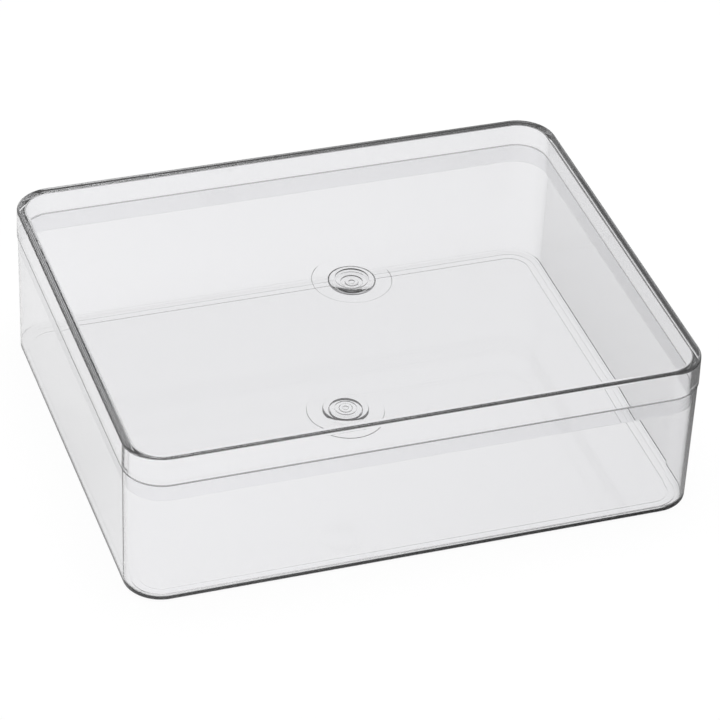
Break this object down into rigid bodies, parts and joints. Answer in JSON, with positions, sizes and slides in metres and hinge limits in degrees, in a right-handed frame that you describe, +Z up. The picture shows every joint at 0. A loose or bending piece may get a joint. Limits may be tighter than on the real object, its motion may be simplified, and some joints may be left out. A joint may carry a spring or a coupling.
{
  "type": "storage box with lid",
  "caption": "Clear rigid plastic storage box, rectangular with rounded corners, and a flat lift-off lid whose inner tongue seats in the box's rim.",
  "frame": {"origin": "middle of the foot ring's underside, on the surface that the box stands on", "axes": "+X along the long side, +Z up through the lid"},
  "size_m": [0.2046, 0.1666, 0.0603],
  "materials": {
    "clear_box": "polished clear moulding",
    "clear_lid": "polished clear moulding"
  },
  "bodies": {
    "box": {"box": "clear_box"},
    "lid": {"lid": "clear_lid"}
  },
  "joints": [
    {"name": "lid_lift", "type": "slide", "parent": "box", "child": "lid", "axis": [0, 0, 1], "range_m": [0, 0.06]}
  ]
}
